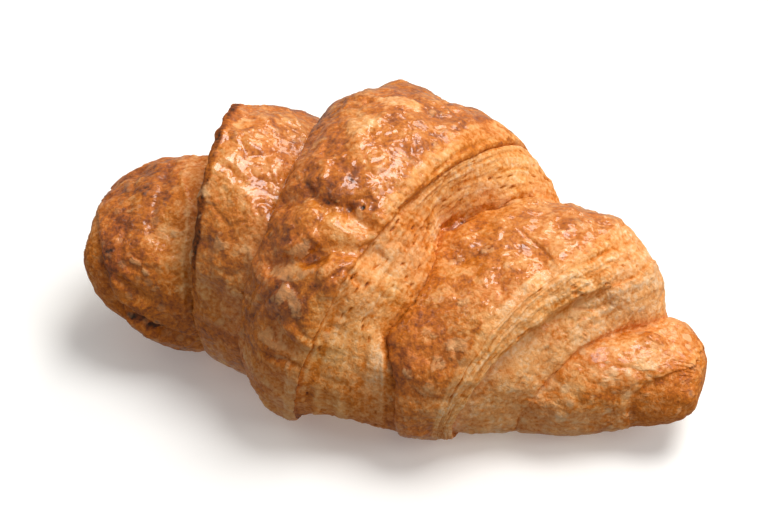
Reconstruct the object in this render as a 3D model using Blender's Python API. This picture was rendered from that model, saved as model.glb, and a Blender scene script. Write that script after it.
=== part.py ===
"""Mini croissant: one piece of rolled, folded dough, baked until its bands step up to a tall middle.

The body runs along X with its shown side facing -Y, and it rests on a flat base at Z = 0.
Its surface is a grid of rings. A ring lies along one edge of a band of dough, and each edge swings
from its place at the back to its place at the front, as the wound dough does. Angles go round the
body in degrees: 0 at the top, 90 at the front, -90 at the back and 180 underneath.
"""

from typing import NamedTuple

import bmesh
import bpy
import numpy as np
from mathutils import Vector, noise

# Driving dimensions, in metres
LENGTH = 0.092
WIDTH = 0.054
HEIGHT = 0.041

# Overall form
BEND = 0.005  # how far the two ends lie behind the middle
END_POWER = 4.0  # roundness of the blunt ends, 2 being an ellipse
SECTION_POWER = 2.3  # roundness of the cross-section
WAIST = 0.42  # height of the widest level, as a share of the height
BELLY = 1.2  # how full the underside is before the base cuts it flat
LIFT_LEFT = 0.0078  # height of the underside at the left end
LIFT_RIGHT = 0.0048  # and at the right end
LIFT_START = 0.55  # share of the half length at which the underside starts to rise
LIFT_POWER = 1.5

# Mesh
RING_POINTS = 54
CROWDING = -0.25  # below 0, the points of a ring stand closer at the top than underneath
KEPT_ORDER = 0.0002  # least distance along X between the rings of a step, underneath

# Fades, in degrees
UNDER_START = 105.0
UNDER_SPREAD = 40.0
SEAM_START = 140.0
SEAM_SPREAD = 40.0
FRONT_START = -20.0
FRONT_SPREAD = 110.0
RELIEF_START = 112.0
RELIEF_SPREAD = 30.0
CUT_START = 6.0
CUT_SPREAD = 16.0

ARC_METRES = 0.00036  # arc length of one degree on the middle of the body

# Uneven surface: size of the lumps, height and seed offset
SWELLS = ((0.0105, 0.00055, 3.0), (0.0048, 0.00042, 17.0))

CRUST_COLOR = (0.56, 0.24, 0.065, 1.0)
CRUST_ROUGHNESS = 0.42


class Edge(NamedTuple):
    """Edge of a band. Places are shares of the half length, angles are degrees."""

    back: float
    front: float
    turn: float  # angle about which the edge swings over to its front place
    spread: float  # angle that the swing takes


class Bay(NamedTuple):
    """A place where an edge leaves its line: its angle, its arc in degrees and its depth in metres."""

    edge: str
    angle: float
    arc: float
    depth: float


class Station(NamedTuple):
    """A ring on an edge, with the size of the body there."""

    edge: str
    lean: float  # metres along X at the top, so that a lip hangs over its foot
    top: float  # share of HEIGHT
    front: float  # half width at the front, as a share of half the WIDTH
    back: float  # half width at the back, likewise
    closes: bool = False  # whether the step before it closes at the back


class Span(NamedTuple):
    """The stretch from one station to the next."""

    rings: int
    crown: float  # metres that the stretch swells at the top
    flank: float  # and at the front
    left: tuple = (1.0, 1.0)  # share of the stretch that the left shoulder takes, its sharpness
    right: tuple = (1.0, 1.0)


class Lump(NamedTuple):
    """A round swelling at a place on the surface, or a dent where its height is below 0."""

    place: float
    angle: float
    length: float
    arc: float
    height: float


class Crease(NamedTuple):
    """A groove that follows a line of (place, angle) points."""

    points: tuple
    width: float
    depth: float


EDGES = {
    "left_end": Edge(-0.974, -0.793, 65, 100),
    "left_step": Edge(-0.617, -0.583, -10, 70),
    "left_fold": Edge(-0.326, -0.391, 50, 60),
    "cap_edge": Edge(0.326, -0.207, 20, 215),
    "right_fold": Edge(0.446, 0.137, -21, 62),
    "flap_lip": Edge(0.663, 0.250, 41, 146),
    "flap_foot": Edge(0.765, 0.285, 41, 138),
    "horn_fold": Edge(0.838, 0.462, 38, 150),
    "right_end": Edge(0.978, 0.804, 50, 60),
}

# Where the front edge of the right band runs out and in
BAYS = (
    Bay("right_fold", 33, 12, 0.0010),
    Bay("right_fold", 64, 9, -0.0024),
)

STATIONS = (
    Station("left_end", 0.0005, 0.612, 0.593, 0.541),
    Station("left_end", -0.0003, 0.637, 0.622, 0.563),
    Station("left_step", 0.0009, 0.668, 0.507, 0.548),
    Station("left_step", -0.0003, 0.905, 0.548, 0.604),
    Station("left_fold", 0.0007, 0.793, 0.690, 0.730),
    Station("left_fold", -0.0005, 0.839, 0.711, 0.778),
    Station("cap_edge", 0.0003, 0.871, 1.000, 0.756),
    Station("cap_edge", -0.0001, 0.849, 0.985, 0.741),
    Station("right_fold", 0.0005, 0.612, 0.904, 0.567),
    Station("right_fold", -0.0005, 0.646, 0.915, 0.581),
    Station("flap_lip", 0.0, 0.700, 0.885, 0.600),
    Station("flap_foot", 0.0002, 0.607, 0.830, 0.507),
    Station("flap_foot", -0.0008, 0.537, 0.763, 0.444, True),
    Station("horn_fold", 0.0001, 0.441, 0.611, 0.356),
    Station("horn_fold", -0.0002, 0.417, 0.596, 0.337),
    Station("right_end", 0.0001, 0.422, 0.393, 0.356),
    Station("right_end", -0.0002, 0.412, 0.378, 0.341),
)

# One stretch before each station, and one after the last
SPANS = (
    Span(4, 0.0, 0.0),
    Span(2, 0.0, 0.0),
    Span(9, 0.0004, 0.0006, (0.4, 2.0), (0.6, 1.5)),
    Span(2, 0.0, 0.0),
    Span(9, 0.0010, 0.0007, (0.3, 2.2), (0.6, 1.8)),
    Span(2, 0.0, 0.0),
    Span(18, 0.0052, 0.0022, (0.5, 1.9), (0.7, 1.6)),
    Span(2, 0.0, 0.0),
    Span(9, 0.0018, -0.0007, (0.6, 2.0), (0.6, 1.6)),
    Span(2, 0.0, 0.0),
    Span(12, 0.0014, 0.0008, (0.4, 2.2), (0.5, 1.6)),
    Span(4, 0.0005, 0.0003, (0.5, 2.0), (0.5, 2.0)),
    Span(2, 0.0, 0.0),
    Span(6, 0.0009, 0.0004, (0.4, 2.2), (0.6, 1.6)),
    Span(2, 0.0, 0.0),
    Span(11, 0.0008, 0.0010, (0.5, 2.0), (0.6, 1.6)),
    Span(2, 0.0, 0.0),
    Span(5, 0.0, 0.0),
)

LUMPS = (
    Lump(-0.250, 41, 0.0040, 8, 0.0012),
    Lump(-0.090, 52, 0.0036, 8, 0.0013),
    Lump(-0.230, 64, 0.0042, 9, 0.0010),
    Lump(-0.280, 86, 0.0034, 9, 0.0006),
    Lump(-0.520, 3, 0.0028, 9, 0.0005),
    Lump(-0.420, 38, 0.0026, 10, 0.0006),
    Lump(-0.500, 62, 0.0026, 9, 0.0005),
    Lump(-0.830, 15, 0.0036, 14, 0.0007),
    Lump(-0.720, 58, 0.0032, 12, 0.0006),
    Lump(-0.030, -2, 0.0050, 10, 0.0006),
    Lump(-0.130, -48, 0.0046, 12, 0.0009),
    Lump(0.060, -84, 0.0050, 12, 0.0009),
    Lump(-0.450, -62, 0.0034, 12, 0.0007),
    Lump(-0.780, -70, 0.0040, 13, 0.0007),
    Lump(0.340, -27, 0.0030, 9, 0.0010),
    Lump(0.390, 2, 0.0040, 10, 0.0007),
    Lump(0.330, 50, 0.0034, 10, 0.0007),
    Lump(0.560, -62, 0.0036, 12, 0.0008),
    Lump(0.815, 15, 0.0024, 12, 0.0006),
    Lump(0.640, 82, 0.0036, 12, 0.0005),
    Lump(0.900, -75, 0.0030, 14, 0.0006),
)

CREASES = (
    Crease(((-0.313, 30), (-0.224, 28), (-0.172, 31), (-0.107, 31), (-0.028, 35)), 0.0011, 0.0012),
    Crease(((0.002, 42), (-0.052, 44), (-0.122, 45), (-0.213, 50), (-0.289, 53)), 0.0011, 0.0013),
    Crease(((-0.257, 73), (-0.198, 77), (-0.141, 78)), 0.0010, 0.0007),
    Crease(((-0.815, 92), (-0.754, 96), (-0.672, 104)), 0.0014, 0.0016),
    Crease(((-0.826, 71), (-0.750, 79)), 0.0012, 0.0007),
    Crease(((-0.350, -40), (-0.280, -64), (-0.180, -78)), 0.0012, 0.0009),
    Crease(((0.283, -16), (0.215, -7), (0.183, -1), (0.150, 8)), 0.0011, 0.0016),
    Crease(((0.433, 13), (0.465, 16), (0.504, 23), (0.498, 36)), 0.0010, 0.0009),
    Crease(((0.520, -30), (0.590, -48), (0.600, -70)), 0.0012, 0.0008),
    Crease(((-0.580, -30), (-0.500, -52), (-0.480, -80)), 0.0012, 0.0007),
)


def smooth(value):
    """Soft step from 0 to 1."""
    value = np.clip(value, 0.0, 1.0)
    return value * value * (3.0 - 2.0 * value)


def ring_angles():
    """Angles of a ring's points, from -180 upwards, closer together at the top."""
    turn = np.arange(RING_POINTS) / RING_POINTS * 2.0 - 1.0
    return 180.0 * (turn + CROWDING * np.sin(np.pi * turn) / np.pi)


def edge_place(edge, angles):
    """X along an edge. Its front and back places meet half-way, underneath."""
    swing = smooth((angles - edge.turn) / edge.spread + 0.5)
    seam = 0.5 * smooth((np.abs(angles) - SEAM_START) / SEAM_SPREAD)
    share = np.where(angles > 0.0, swing * (1.0 - seam), np.maximum(swing, seam))
    return LENGTH / 2.0 * (edge.back + (edge.front - edge.back) * share)


def bays(name, angles):
    """How far an edge leaves its line, along X."""
    total = np.zeros_like(angles)
    for bay in BAYS:
        if bay.edge == name:
            total = total + bay.depth * np.exp(-(((angles - bay.angle) / bay.arc) ** 2))
    return total


def end_taper(x):
    """Factor on the section, 1 along the body and 0 at both ends."""
    return np.maximum(1.0 - np.abs(2.0 * x / LENGTH) ** END_POWER, 0.0) ** (1.0 / END_POWER)


def taper_place(taper):
    """Distance from the middle at which end_taper has the given value."""
    return LENGTH / 2.0 * (1.0 - taper**END_POWER) ** (1.0 / END_POWER)


def underside(x):
    """Height of the lowest line of the body, which rises towards both ends."""
    rise = np.clip((np.abs(2.0 * x / LENGTH) - LIFT_START) / (1.0 - LIFT_START), 0.0, 1.0)
    return np.where(x < 0.0, LIFT_LEFT, LIFT_RIGHT) * rise**LIFT_POWER


def shoulder(share, width, power):
    """Rounded rise from 0 to 1 over the given width."""
    return (1.0 - (1.0 - np.clip(share / width, 0.0, 1.0)) ** power) ** (1.0 / power)


def section_radius(x, angles, top, half):
    """Distance from the waist's centre line to the surface, and that line's height."""
    low = underside(x)
    waist = low + WAIST * (top - low)
    cosine = np.cos(np.radians(angles))
    sine = np.sin(np.radians(angles))
    reach = np.where(cosine > 0.0, top - waist, BELLY * (waist - low))
    power = SECTION_POWER
    sum_of_powers = np.abs(cosine / reach) ** power + np.abs(sine / half) ** power
    return sum_of_powers ** (-1.0 / power), waist


def lumps_and_creases(x, angles):
    """Height of the single swellings and grooves at a place."""
    height = np.zeros_like(x)
    for lump in LUMPS:
        along = (x - lump.place * LENGTH / 2.0) / lump.length
        around = (angles - lump.angle) / lump.arc
        height += lump.height * np.exp(-(along**2 + around**2))
    for crease in CREASES:
        nearest = np.full_like(x, np.inf)
        path = [np.array((place * LENGTH / 2.0, angle * ARC_METRES)) for place, angle in crease.points]
        for start, end in zip(path[:-1], path[1:]):
            line = end - start
            to_x = x - start[0]
            to_arc = angles * ARC_METRES - start[1]
            share = np.clip((to_x * line[0] + to_arc * line[1]) / (line @ line), 0.0, 1.0)
            nearest = np.minimum(nearest, np.hypot(to_x - share * line[0], to_arc - share * line[1]))
        height -= crease.depth * np.exp(-((nearest / crease.width) ** 2))
    return height


def swells(x, angles, radius):
    """Uneven crust: smooth noise in space, so that it has no seam round the body."""
    height = np.zeros_like(x)
    y = radius * np.sin(np.radians(angles))
    z = radius * np.cos(np.radians(angles))
    for size, amount, offset in SWELLS:
        for index in np.ndindex(x.shape):
            place = Vector((x[index] / size + offset, y[index] / size, z[index] / size))
            height[index] += amount * noise.noise(place)
    return height


def station_rings(angles):
    """X, height and half width along the ring of each station."""
    under = smooth((np.abs(angles) - UNDER_START) / UNDER_SPREAD)
    rings = []
    for index, station in enumerate(STATIONS):
        first = index + 1 < len(STATIONS) and STATIONS[index + 1].edge == station.edge
        second = index > 0 and STATIONS[index - 1].edge == station.edge
        order = KEPT_ORDER * (int(second) - int(first))
        x = edge_place(EDGES[station.edge], angles) + station.lean * (1.0 - under) + order * under
        x = x + bays(station.edge, angles)
        top = np.full_like(x, station.top * HEIGHT)
        half = WIDTH / 2.0 * np.where(angles > 0.0, station.front, station.back)
        if station.closes:
            closed = np.maximum(1.0 - smooth((angles - CUT_START) / CUT_SPREAD), under)
            before = rings[-1]
            x = x + (before[0] + KEPT_ORDER - x) * closed
            top = top + (before[1] - top) * closed
            half = half + (before[2] - half) * closed
        rings.append((x, top, half))
    return rings


def end_rings(count, angles, ring, side):
    """Rings that close in on one end from the last station, the widest ring last."""
    x, top, half = ring
    share = (np.arange(count) + 1.0)[:, None] / (count + 1.0)
    taper = share * end_taper(x)[None, :]
    return side * taper_place(taper), top + 0.0 * taper, half + 0.0 * taper, 0.0 * taper


def span_rings(span, angles, left, right):
    """Rings from the left station up to, but not including, the right one."""
    share = (np.arange(span.rings) / span.rings)[:, None]
    x, top, half = (a[None, :] * (1.0 - share) + b[None, :] * share for a, b in zip(left, right))
    front = smooth((angles - FRONT_START) / FRONT_SPREAD)[None, :]
    swell = shoulder(share, *span.left) * shoulder(1.0 - share, *span.right)
    return x, top, half, swell * (span.crown * (1.0 - front) + span.flank * front)


def surface_grid():
    """Points of the whole skin: one row for each ring, without the two tips."""
    angles = ring_angles()
    stations = station_rings(angles)
    blocks = [end_rings(SPANS[0].rings, angles, stations[0], -1.0)]
    for span, left, right in zip(SPANS[1:-1], stations[:-1], stations[1:]):
        blocks.append(span_rings(span, angles, left, right))
    blocks.append([part[None, :] for part in (*stations[-1], 0.0 * angles)])
    blocks.append([part[::-1] for part in end_rings(SPANS[-1].rings, angles, stations[-1], 1.0)])
    x, top, half, bulge = (np.concatenate(parts) for parts in zip(*blocks))
    angles = np.broadcast_to(angles, x.shape)
    radius, waist = section_radius(x, angles, top, half)
    radius = (radius + bulge) * end_taper(x)
    relief = lumps_and_creases(x, angles) + swells(x, angles, radius)
    radius = radius + relief * (1.0 - smooth((np.abs(angles) - RELIEF_START) / RELIEF_SPREAD))
    y = -BEND * (2.0 * x / LENGTH) ** 2 - radius * np.sin(np.radians(angles))
    z = np.maximum(waist + radius * np.cos(np.radians(angles)), 0.0)
    return np.stack([x, y, z], axis=-1)


def end_tip(ring, side):
    """The point that closes an end."""
    return np.array((side * LENGTH / 2.0, ring[:, 1].mean(), ring[:, 2].mean()))


def build_croissant():
    """One closed skin: quads between the rings, split alike, and a fan at each end."""
    grid = surface_grid()
    tips = [end_tip(grid[0], -1.0), end_tip(grid[-1], 1.0)]
    middle = (grid[..., 1].max() + grid[..., 1].min()) / 2.0
    skin = bmesh.new()
    rows = [[skin.verts.new((x, y - middle, z)) for x, y, z in ring] for ring in grid]
    left_tip, right_tip = [skin.verts.new((x, y - middle, z)) for x, y, z in tips]
    for lower, upper in zip(rows[:-1], rows[1:]):
        for index in range(RING_POINTS):
            after = (index + 1) % RING_POINTS
            skin.faces.new((lower[index], lower[after], upper[after], upper[index]))
    for index in range(RING_POINTS):
        after = (index + 1) % RING_POINTS
        skin.faces.new((left_tip, rows[0][after], rows[0][index]))
        skin.faces.new((right_tip, rows[-1][index], rows[-1][after]))
    bmesh.ops.recalc_face_normals(skin, faces=skin.faces)
    bmesh.ops.triangulate(skin, faces=skin.faces, quad_method="SHORT_EDGE")
    mesh = bpy.data.meshes.new("croissant")
    skin.to_mesh(mesh)
    skin.free()
    mesh.shade_smooth()
    croissant = bpy.data.objects.new("croissant", mesh)
    bpy.context.scene.collection.objects.link(croissant)
    return croissant


def crust_material():
    """Baked, egg-washed crust."""
    material = bpy.data.materials.new("crust")
    material.use_nodes = True
    shader = material.node_tree.nodes["Principled BSDF"]
    shader.inputs["Base Color"].default_value = CRUST_COLOR
    shader.inputs["Roughness"].default_value = CRUST_ROUGHNESS
    shader.inputs["Metallic"].default_value = 0.0
    return material


def main():
    for item in list(bpy.data.objects):
        bpy.data.objects.remove(item, do_unlink=True)
    croissant = build_croissant()
    croissant.data.materials.append(crust_material())


main()
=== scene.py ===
"""Looks of the mini croissant: its baked skin as a fine mesh, with flakes, materials, light and camera.

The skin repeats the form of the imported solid: rings of points that follow the edges of the bands of
dough, with angles round the body in degrees, 0 at the top, 90 at the front and 180 underneath.
All sizes are metres.
"""

from typing import NamedTuple

import bpy
import numpy as np
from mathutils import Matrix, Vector, noise


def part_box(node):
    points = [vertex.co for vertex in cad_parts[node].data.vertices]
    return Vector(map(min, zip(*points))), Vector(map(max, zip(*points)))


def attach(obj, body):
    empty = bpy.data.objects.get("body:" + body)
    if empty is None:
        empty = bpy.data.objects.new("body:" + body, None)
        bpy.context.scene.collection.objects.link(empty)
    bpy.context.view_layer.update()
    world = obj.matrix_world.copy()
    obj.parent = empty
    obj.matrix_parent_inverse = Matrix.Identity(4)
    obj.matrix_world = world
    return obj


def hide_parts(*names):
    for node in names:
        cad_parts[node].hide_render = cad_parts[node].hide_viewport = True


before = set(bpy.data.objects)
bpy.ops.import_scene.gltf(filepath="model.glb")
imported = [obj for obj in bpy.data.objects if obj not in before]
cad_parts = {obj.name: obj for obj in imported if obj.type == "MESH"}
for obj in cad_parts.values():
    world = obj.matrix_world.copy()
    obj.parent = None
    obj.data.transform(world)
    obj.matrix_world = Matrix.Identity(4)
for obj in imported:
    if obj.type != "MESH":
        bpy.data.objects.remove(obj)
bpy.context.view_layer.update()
LOW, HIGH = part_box("croissant")

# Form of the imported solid
LENGTH = HIGH[0] - LOW[0]
WIDTH = 0.054
HEIGHT = 0.041
# How far both ends bend forward
BEND = 0.005
# Powers of the outline seen from above and of the section: 2 is an ellipse, more is squarer
END_POWER = 4.0
SECTION_POWER = 2.3
# Height of the widest line as a share of the section's, and the reach below it over that height
WAIST = 0.42
BELLY = 1.2
# How far the underside rises at each end
LIFT_LEFT = 0.0078
LIFT_RIGHT = 0.0048
LIFT_START = 0.55
LIFT_POWER = 1.5
# Shift that keeps the rings of an edge apart underneath and where one closes
KEPT_ORDER = 0.0002
# Where changes of the form start, and how many degrees each takes
UNDER_START = 105.0
UNDER_SPREAD = 40.0
SEAM_START = 140.0
SEAM_SPREAD = 40.0
FRONT_START = -20.0
FRONT_SPREAD = 110.0
RELIEF_START = 112.0
RELIEF_SPREAD = 30.0
CUT_START = 6.0
CUT_SPREAD = 16.0
# Metres of skin for each degree, where the distance to a crease is measured
ARC_METRES = 0.00036
# Size and height of each swell, and where its noise starts
SWELLS = ((0.0105, 0.00055, 3.0), (0.0048, 0.00042, 17.0))

# Fine mesh
RING_POINTS = 620
# Below zero, it draws the points of a ring towards the top
CROWDING = -0.35
RING_SPACING = 0.00021
LEAST_RINGS = 4
TIP_LENGTH = 0.012
SHOWN_ARC = 80.0
LIP_ROUNDING = 6
# Pieces of the skin, and the last stretch of each
PIECES = {
    "left_horn": "left_horn",
    "left_band": "left_band",
    "cap": "cap_lip",
    "middle_side": "pale_side",
    "right_band": "flap_foot",
    "inner_band": "horn_fold",
    "right_horn": "right_tip",
}


class Edge(NamedTuple):
    """Edge of a band. Places are shares of the half length, angles are degrees."""

    back: float
    front: float
    turn: float
    spread: float


class Bay(NamedTuple):
    """A place where an edge leaves its line: its angle, its arc in degrees and its depth in metres."""

    edge: str
    angle: float
    arc: float
    depth: float


class Station(NamedTuple):
    """A ring along an edge: its lean past the edge in metres, the height of its top as a share of HEIGHT,
    and its reach in front and behind as shares of half the WIDTH. One that closes lies against the ring
    before it, behind and underneath."""

    edge: str
    lean: float
    top: float
    front: float
    back: float
    closes: bool = False


class Span(NamedTuple):
    """How a stretch swells at the top and in front, with its rounded shoulders."""

    crown: float
    flank: float
    left: tuple
    right: tuple


class Look(NamedTuple):
    """The skin of a stretch."""

    fineness: float  # how much closer its rings stand
    bake: float  # 0 is pale dough, 1 is burnt
    glaze: float  # share of egg wash
    film: float  # wrinkled film
    streaks: float  # lines of stretched dough
    flakes: float  # torn pale scales
    pits: float
    specks: float  # small pale scales


class Lump(NamedTuple):
    """A round swelling: half its length along X and its height in metres, half its arc in degrees."""

    place: float
    angle: float
    length: float
    arc: float
    height: float


class Crease(NamedTuple):
    """A groove along (place, angle) points. A depth below zero makes it a ridge."""

    points: tuple
    width: float
    depth: float


class Spot(NamedTuple):
    """A place with a look of its own: half its length along X in metres, half its arc in degrees."""

    place: float
    angle: float
    length: float
    arc: float
    bake: float = 0.0
    glaze: float = 0.0
    film: float = 0.0
    flakes: float = 0.0
    height: float = 0.0


class Margin(NamedTuple):
    """A strip along an edge, between two shares of a stretch and two angles."""

    stretch: str
    start: float
    end: float
    first: float
    last: float
    bake: float = 0.0
    glaze: float = 0.0
    film: float = 0.0
    streaks: float = 0.0
    flakes: float = 0.0


class Pattern(NamedTuple):
    """Noise in the skin: the size of its features in metres, its seed, and how many finer ones it adds."""

    size: float
    seed: int
    octaves: int = 1


EDGES = {
    "left_end": Edge(-0.974, -0.793, 65, 100),
    "left_step": Edge(-0.617, -0.583, -10, 70),
    "left_fold": Edge(-0.326, -0.391, 50, 60),
    "cap_edge": Edge(0.326, -0.207, 20, 215),
    "right_fold": Edge(0.446, 0.137, -21, 62),
    "flap_lip": Edge(0.663, 0.250, 41, 146),
    "flap_foot": Edge(0.765, 0.285, 41, 138),
    "horn_fold": Edge(0.838, 0.462, 38, 150),
    "right_end": Edge(0.978, 0.804, 50, 60),
}

# Where the front edge of the right band runs out and in
BAYS = (
    Bay("right_fold", 33, 12, 0.0010),
    Bay("right_fold", 64, 9, -0.0024),
)

STATIONS = (
    Station("left_end", 0.0005, 0.612, 0.593, 0.541),
    Station("left_end", -0.0003, 0.637, 0.622, 0.563),
    Station("left_step", 0.0009, 0.668, 0.507, 0.548),
    Station("left_step", -0.0003, 0.905, 0.548, 0.604),
    Station("left_fold", 0.0007, 0.793, 0.690, 0.730),
    Station("left_fold", -0.0005, 0.839, 0.711, 0.778),
    Station("cap_edge", 0.0003, 0.871, 1.000, 0.756),
    Station("cap_edge", -0.0001, 0.849, 0.985, 0.741),
    Station("right_fold", 0.0005, 0.612, 0.904, 0.567),
    Station("right_fold", -0.0005, 0.646, 0.915, 0.581),
    Station("flap_lip", 0.0, 0.700, 0.885, 0.600),
    Station("flap_foot", 0.0002, 0.607, 0.830, 0.507),
    Station("flap_foot", -0.0008, 0.537, 0.763, 0.444, True),
    Station("horn_fold", 0.0001, 0.441, 0.611, 0.356),
    Station("horn_fold", -0.0002, 0.417, 0.596, 0.337),
    Station("right_end", 0.0001, 0.422, 0.393, 0.356),
    Station("right_end", -0.0002, 0.412, 0.378, 0.341),
)

# Stretches that swell. The others run straight from station to station
SPANS = {
    "left_horn": Span(0.0004, 0.0006, (0.4, 2.0), (0.6, 1.5)),
    "left_band": Span(0.0010, 0.0007, (0.3, 2.2), (0.6, 1.8)),
    "cap": Span(0.0052, 0.0022, (0.5, 1.9), (0.7, 1.6)),
    "pale_side": Span(0.0018, -0.0007, (0.6, 2.0), (0.6, 1.6)),
    "right_band": Span(0.0014, 0.0008, (0.4, 2.2), (0.5, 1.6)),
    "cut_edge": Span(0.0005, 0.0003, (0.5, 2.0), (0.5, 2.0)),
    "inner_band": Span(0.0009, 0.0004, (0.4, 2.2), (0.6, 1.6)),
    "right_horn": Span(0.0008, 0.0010, (0.5, 2.0), (0.6, 1.6)),
}
STRAIGHT = Span(0.0, 0.0, (1.0, 1.0), (1.0, 1.0))

# The stretches from left to right, one before each station and one after the last
# Stretches between two rings of one edge, such as left_step, left_fold and right_fold, are baked darker than
# their neighbours: partly browning of the exposed lips, partly painted shade in the undercuts and folds.
LOOKS = {
    "left_tip": Look(1.0, 0.50, 0.10, 0.10, 0.30, 0.30, 0.2, 0.2),
    "left_lip": Look(1.3, 0.62, 0.20, 0.10, 0.20, 0.10, 0.0, 0.0),
    # The left horn's bake is raised a little as painted shade on that end
    "left_horn": Look(1.0, 0.60, 0.75, 0.85, 0.10, 0.30, 0.1, 0.3),
    "left_step": Look(1.0, 0.66, 0.00, 0.10, 1.00, 0.80, 0.2, 0.0),
    "left_band": Look(1.0, 0.50, 1.00, 0.85, 0.05, 0.20, 0.0, 0.1),
    "left_fold": Look(1.3, 0.62, 0.20, 0.10, 0.10, 0.00, 0.0, 0.0),
    "cap": Look(1.0, 0.56, 1.00, 1.00, 0.00, 0.30, 0.0, 0.0),
    "cap_lip": Look(1.8, 0.50, 0.10, 0.10, 0.50, 0.00, 0.2, 0.0),
    "pale_side": Look(1.0, 0.31, 0.08, 0.25, 1.20, 0.20, 1.0, 0.1),
    "right_fold": Look(1.3, 0.62, 0.10, 0.10, 0.30, 0.00, 0.0, 0.0),
    "right_band": Look(1.0, 0.49, 1.00, 0.75, 0.25, 0.20, 0.1, 0.1),
    "cut_edge": Look(1.9, 0.28, 0.00, 0.00, 1.30, 0.10, 0.5, 0.0),
    "flap_foot": Look(1.0, 0.42, 0.00, 0.10, 0.60, 0.00, 0.0, 0.0),
    "inner_band": Look(1.0, 0.28, 0.30, 0.30, 0.70, 0.30, 0.2, 0.4),
    "horn_fold": Look(1.3, 0.36, 0.10, 0.10, 0.30, 0.00, 0.0, 0.0),
    "right_horn": Look(1.0, 0.40, 0.50, 0.35, 0.30, 0.30, 0.1, 1.3),
    "right_lip": Look(1.3, 0.46, 0.10, 0.10, 0.50, 0.00, 0.0, 0.0),
    "right_tip": Look(1.2, 0.52, 0.20, 0.25, 0.60, 0.10, 0.2, 0.3),
}
STRETCHES = tuple(LOOKS)
TIPS = ("left_tip", "right_tip")

LUMPS = (
    Lump(-0.250, 41, 0.0040, 8, 0.0012),
    Lump(-0.090, 52, 0.0036, 8, 0.0013),
    Lump(-0.230, 64, 0.0042, 9, 0.0010),
    Lump(-0.280, 86, 0.0034, 9, 0.0006),
    Lump(-0.520, 3, 0.0028, 9, 0.0005),
    Lump(-0.420, 38, 0.0026, 10, 0.0006),
    Lump(-0.500, 62, 0.0026, 9, 0.0005),
    Lump(-0.830, 15, 0.0036, 14, 0.0007),
    Lump(-0.720, 58, 0.0032, 12, 0.0006),
    Lump(-0.030, -2, 0.0050, 10, 0.0006),
    Lump(-0.130, -48, 0.0046, 12, 0.0009),
    Lump(0.060, -84, 0.0050, 12, 0.0009),
    Lump(-0.450, -62, 0.0034, 12, 0.0007),
    Lump(-0.780, -70, 0.0040, 13, 0.0007),
    Lump(0.340, -27, 0.0030, 9, 0.0010),
    Lump(0.390, 2, 0.0040, 10, 0.0007),
    Lump(0.330, 50, 0.0034, 10, 0.0007),
    Lump(0.560, -62, 0.0036, 12, 0.0008),
    Lump(0.815, 15, 0.0024, 12, 0.0006),
    Lump(0.640, 82, 0.0036, 12, 0.0005),
    Lump(0.900, -75, 0.0030, 14, 0.0006),
)

# Creases of the solid
CREASES = (
    Crease(((-0.313, 30), (-0.224, 28), (-0.172, 31), (-0.107, 31), (-0.028, 35)), 0.0011, 0.0012),
    Crease(((0.002, 42), (-0.052, 44), (-0.122, 45), (-0.213, 50), (-0.289, 53)), 0.0011, 0.0013),
    Crease(((-0.257, 73), (-0.198, 77), (-0.141, 78)), 0.0010, 0.0007),
    Crease(((-0.815, 92), (-0.754, 96), (-0.672, 104)), 0.0014, 0.0016),
    Crease(((-0.826, 71), (-0.750, 79)), 0.0012, 0.0007),
    Crease(((-0.350, -40), (-0.280, -64), (-0.180, -78)), 0.0012, 0.0009),
    Crease(((0.283, -16), (0.215, -7), (0.183, -1), (0.150, 8)), 0.0011, 0.0016),
    Crease(((0.433, 13), (0.465, 16), (0.504, 23), (0.498, 36)), 0.0010, 0.0004),
    Crease(((0.520, -30), (0.590, -48), (0.600, -70)), 0.0012, 0.0008),
    Crease(((-0.580, -30), (-0.500, -52), (-0.480, -80)), 0.0012, 0.0007),
)

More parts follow.
